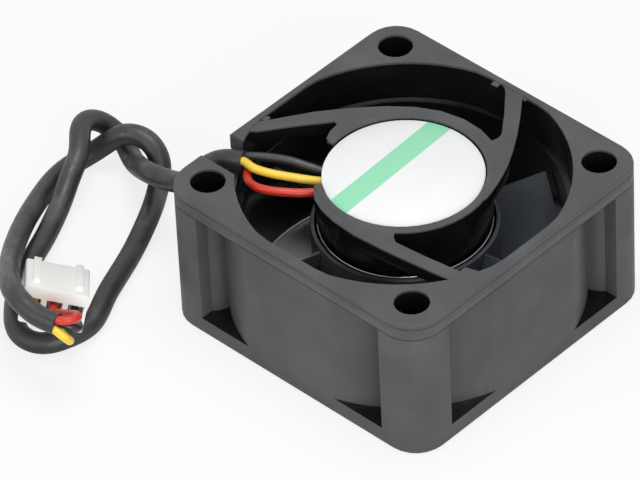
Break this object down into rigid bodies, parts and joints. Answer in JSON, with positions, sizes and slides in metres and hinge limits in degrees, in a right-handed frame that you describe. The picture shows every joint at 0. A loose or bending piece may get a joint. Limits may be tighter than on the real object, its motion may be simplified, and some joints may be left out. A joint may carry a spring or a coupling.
{
  "type": "axial cooling fan",
  "caption": "Square axial cooling fan with a curved-strut motor base, a bladed rotor on a sleeve bearing, and a sleeved lead ending in a plug.",
  "frame": {"origin": "centre of the square frame's footprint, on its inlet face", "axes": "+Z out of the outlet side, which carries the motor base and label; -X towards the side where the lead leaves"},
  "size_m": [0.0686, 0.06, 0.02],
  "materials": {
    "frame_plastic": "satin black moulding",
    "impeller_plastic": "satin dark blue-grey moulding",
    "label_film": "white film with a plain pale green stripe",
    "brass": "turned",
    "bronze": "sintered, oiled",
    "steel": "bright",
    "magnet": "bonded ferrite",
    "core_steel": "stacked laminations",
    "former_plastic": "natural moulding",
    "copper": "enamelled winding",
    "board": "solder mask",
    "component": "moulded",
    "ceramic": "fired",
    "tin": "tinned",
    "nylon": "natural white",
    "sleeve": "matt black sleeve",
    "wire_black": "insulation",
    "wire_red": "insulation",
    "wire_yellow": "insulation"
  },
  "bodies": {
    "fan_frame": {"frame_housing": "frame_plastic", "label": "label_film", "bearing_tube": "brass", "sleeve_bearing": "bronze", "thrust_plate": "nylon", "oil_washer": "nylon", "stator_core": "core_steel", "coil_former_upper": "former_plastic", "coil_former_lower": "former_plastic", "coil_1": "copper", "coil_2": "copper", "coil_3": "copper", "coil_4": "copper", "winding_pin_1": "tin", "winding_pin_2": "tin", "winding_pin_3": "tin", "winding_pin_4": "tin", "circuit_board": "board", "hall_sensor": "component", "driver_chip": "component", "capacitor": "ceramic", "resistor_1": "component", "resistor_2": "component", "lead_black_inner": "wire_black", "lead_red_inner": "wire_red", "lead_yellow_inner": "wire_yellow", "cable_sleeve": "sleeve", "lead_black_outer": "wire_black", "lead_red_outer": "wire_red", "lead_yellow_outer": "wire_yellow", "plug_housing": "nylon", "plug_contact_1": "tin", "plug_contact_2": "tin", "plug_contact_3": "tin"},
    "fan_rotor": {"impeller": "impeller_plastic", "rotor_yoke": "steel", "magnet_ring": "magnet", "shaft": "steel", "shaft_clip": "steel"}
  },
  "joints": [
    {"name": "impeller_spin", "type": "hinge", "parent": "fan_frame", "child": "fan_rotor", "pos_m": [0, 0, 0.0098], "axis": [0, 0, -1], "continuous": true}
  ]
}
